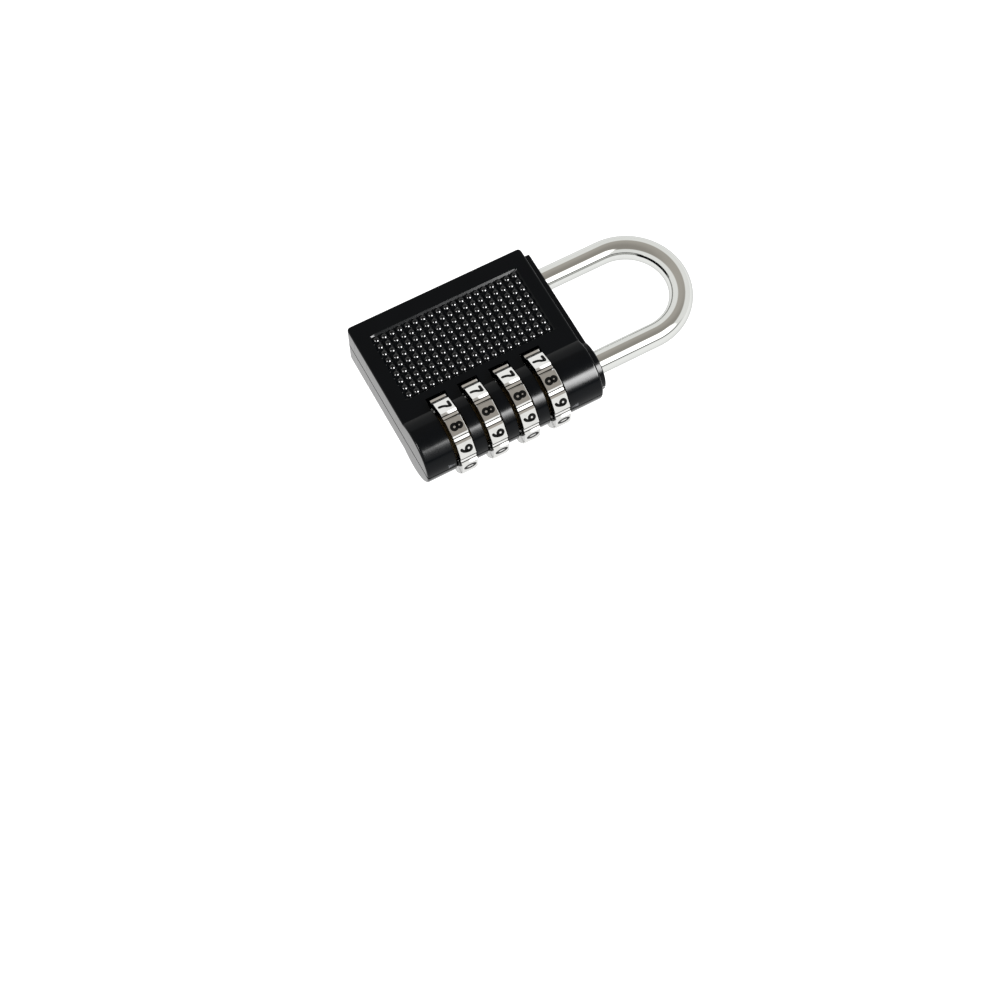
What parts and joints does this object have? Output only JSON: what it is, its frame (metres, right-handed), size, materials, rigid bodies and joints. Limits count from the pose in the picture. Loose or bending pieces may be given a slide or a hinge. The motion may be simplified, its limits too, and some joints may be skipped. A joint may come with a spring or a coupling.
{
  "type": "combination padlock",
  "caption": "Four-dial combination padlock: flat cast body with a round barrel side, chrome number dials and a round steel shackle that lifts.",
  "frame": {"origin": "middle of the underside of the bounding box, with the padlock lying on its back", "axes": "+Z out of the front face, +Y towards the shackle, +X towards the side with the dials"},
  "size_m": [0.0436, 0.0828, 0.0197],
  "materials": {
    "body_paint": "gloss black enamel on cast zinc",
    "shackle_chrome": "bright plated steel",
    "dial_chrome": "bright plated zinc with black-filled digits",
    "sleeve_brass": "machined",
    "spring_steel": "bright drawn",
    "plain_steel": "turned"
  },
  "bodies": {
    "body": {"front_shell": "body_paint", "back_shell": "body_paint", "upper_washer": "plain_steel", "clutch_spring": "spring_steel", "detent_spring": "spring_steel", "shell_pin_1": "plain_steel", "shell_pin_2": "plain_steel", "shell_pin_3": "plain_steel", "shell_pin_4": "plain_steel"},
    "shackle": {"shackle": "shackle_chrome", "shackle_ring": "spring_steel"},
    "dial_1": {"dial_1": "dial_chrome"},
    "dial_2": {"dial_2": "dial_chrome"},
    "dial_3": {"dial_3": "dial_chrome"},
    "dial_4": {"dial_4": "dial_chrome"},
    "sleeve_1": {"sleeve_1": "sleeve_brass", "lower_washer": "plain_steel"},
    "sleeve_2": {"sleeve_2": "sleeve_brass"},
    "sleeve_3": {"sleeve_3": "sleeve_brass"},
    "sleeve_4": {"sleeve_4": "sleeve_brass"}
  },
  "joints": [
    {"name": "shackle_lift", "type": "slide", "parent": "body", "child": "shackle", "axis": [0, 1, 0], "range_m": [0, 0.00843]},
    {"name": "dial_1_turn", "type": "hinge", "parent": "body", "child": "dial_1", "pos_m": [0.0121, -0.031, 0.00984], "axis": [0, 1, 0], "continuous": true},
    {"name": "dial_2_turn", "type": "hinge", "parent": "body", "child": "dial_2", "pos_m": [0.0121, -0.02257, 0.00984], "axis": [0, 1, 0], "continuous": true},
    {"name": "dial_3_turn", "type": "hinge", "parent": "body", "child": "dial_3", "pos_m": [0.0121, -0.01414, 0.00984], "axis": [0, 1, 0], "continuous": true},
    {"name": "dial_4_turn", "type": "hinge", "parent": "body", "child": "dial_4", "pos_m": [0.0121, -0.00571, 0.00984], "axis": [0, 1, 0], "continuous": true},
    {"name": "sleeve_1_slide", "type": "slide", "parent": "dial_1", "child": "sleeve_1", "axis": [0, 1, 0], "range_m": [-0.0018, 0], "stiffness_N_per_m": 250, "springref_m": 0.004, "deforming": ["clutch_spring"]},
    {"name": "sleeve_2_slide", "type": "slide", "parent": "dial_2", "child": "sleeve_2", "axis": [0, 1, 0], "range_m": [-0.0018, 0]},
    {"name": "sleeve_3_slide", "type": "slide", "parent": "dial_3", "child": "sleeve_3", "axis": [0, 1, 0], "range_m": [-0.0018, 0]},
    {"name": "sleeve_4_slide", "type": "slide", "parent": "dial_4", "child": "sleeve_4", "axis": [0, 1, 0], "range_m": [-0.0018, 0]}
  ],
  "couplings": [
    {"joint": "sleeve_2_slide", "follows": "sleeve_1_slide", "ratio": 1},
    {"joint": "sleeve_3_slide", "follows": "sleeve_1_slide", "ratio": 1},
    {"joint": "sleeve_4_slide", "follows": "sleeve_1_slide", "ratio": 1}
  ]
}
